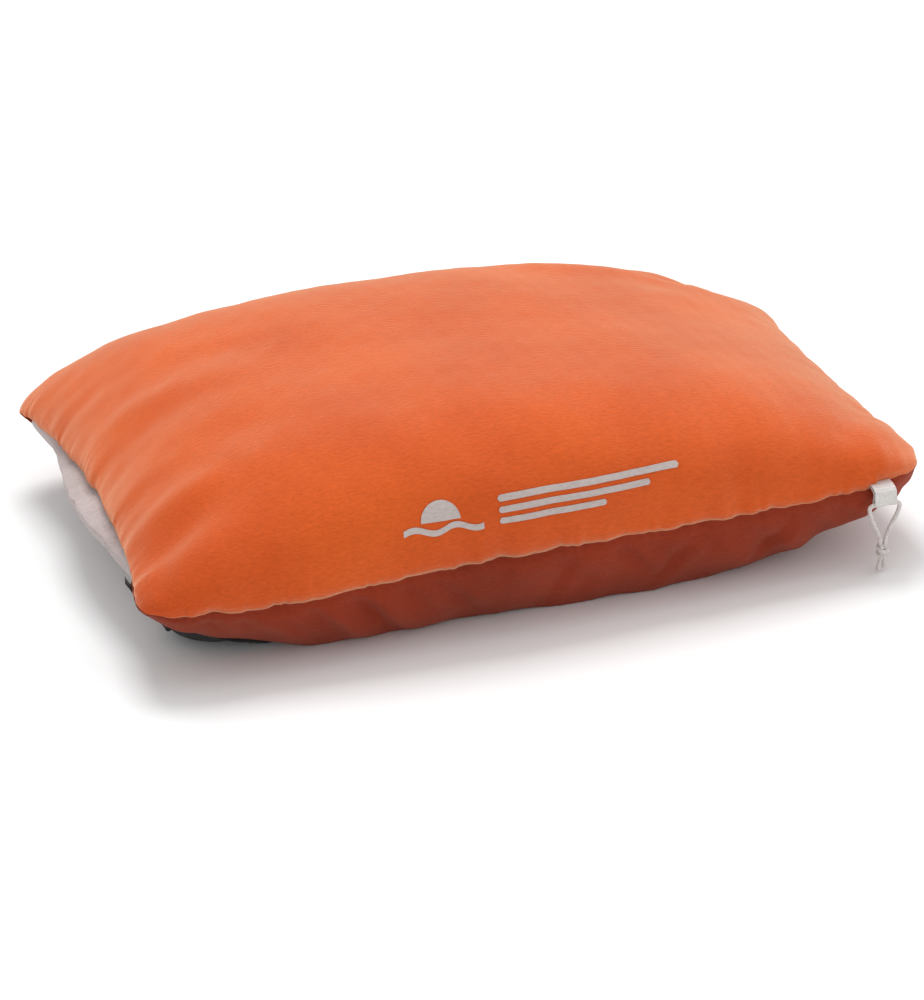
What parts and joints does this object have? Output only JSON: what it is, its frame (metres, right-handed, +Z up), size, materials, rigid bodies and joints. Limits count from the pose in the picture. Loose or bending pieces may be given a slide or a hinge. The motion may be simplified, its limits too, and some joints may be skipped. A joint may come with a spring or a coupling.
{
  "type": "camp pillow",
  "caption": "Self-inflating foam-core camping pillow in a two-tone knit case with an open mouth, a flat two-stage valve under one corner and a ribbon tab with a cord loop",
  "frame": {"origin": "centre of the bounding box on the surface that the pillow rests on", "axes": "+X along the pillow away from the mouth, -Y towards the front seam, +Z up"},
  "size_m": [0.4147, 0.2611, 0.1051],
  "materials": {
    "orange_knit": "matte",
    "rust_knit": "matte",
    "black_elastic": "matte",
    "pale_coated_fabric": "satin",
    "core_foam": "matte",
    "pale_plastic": "satin",
    "black_plastic": "satin",
    "seal_rubber": "matte",
    "pale_ribbon": "satin",
    "pale_cord": "matte",
    "pale_print": "matte"
  },
  "bodies": {
    "pillow": {"case_top": "orange_knit", "case_bottom": "rust_knit", "mouth_binding": "black_elastic", "cell_top": "pale_coated_fabric", "cell_bottom": "pale_coated_fabric", "foam_core": "core_foam", "valve_flange": "pale_plastic", "valve_screen": "pale_plastic", "valve_seat": "black_plastic"},
    "lid": {"deflate_lid": "black_plastic", "lid_seal": "seal_rubber"},
    "cap": {"inflate_cap": "black_plastic", "cap_seal": "seal_rubber"},
    "button": {"release_button": "pale_plastic", "check_diaphragm": "seal_rubber"},
    "tab": {"hang_tab": "pale_ribbon"},
    "loop": {"hang_loop": "pale_cord", "loop_knot": "pale_cord"}
  },
  "joints": [
    {"name": "lid_hinge", "type": "hinge", "parent": "pillow", "child": "lid", "pos_m": [-0.18255, -0.07143, 0.00941], "axis": [0, 0.9973, -0.0735], "range_deg": [0, 110]},
    {"name": "cap_hinge", "type": "hinge", "parent": "lid", "child": "cap", "pos_m": [-0.17064, -0.07184, 0.00384], "axis": [0, 0.9973, -0.0735], "range_deg": [0, 150]},
    {"name": "button_press", "type": "slide", "parent": "lid", "child": "button", "axis": [0.0975, 0.0731, 0.9925], "range_m": [0, 0.0013], "stiffness_N_per_m": 400},
    {"name": "tab_swing", "type": "hinge", "parent": "pillow", "child": "tab", "pos_m": [0.174, -0.1296, 0.046], "axis": [-1, 0, 0], "range_deg": [0, 150]},
    {"name": "loop_swing", "type": "hinge", "parent": "tab", "child": "loop", "pos_m": [0.174, -0.1296, 0.039], "axis": [-1, 0, 0], "range_deg": [-15, 60]}
  ]
}
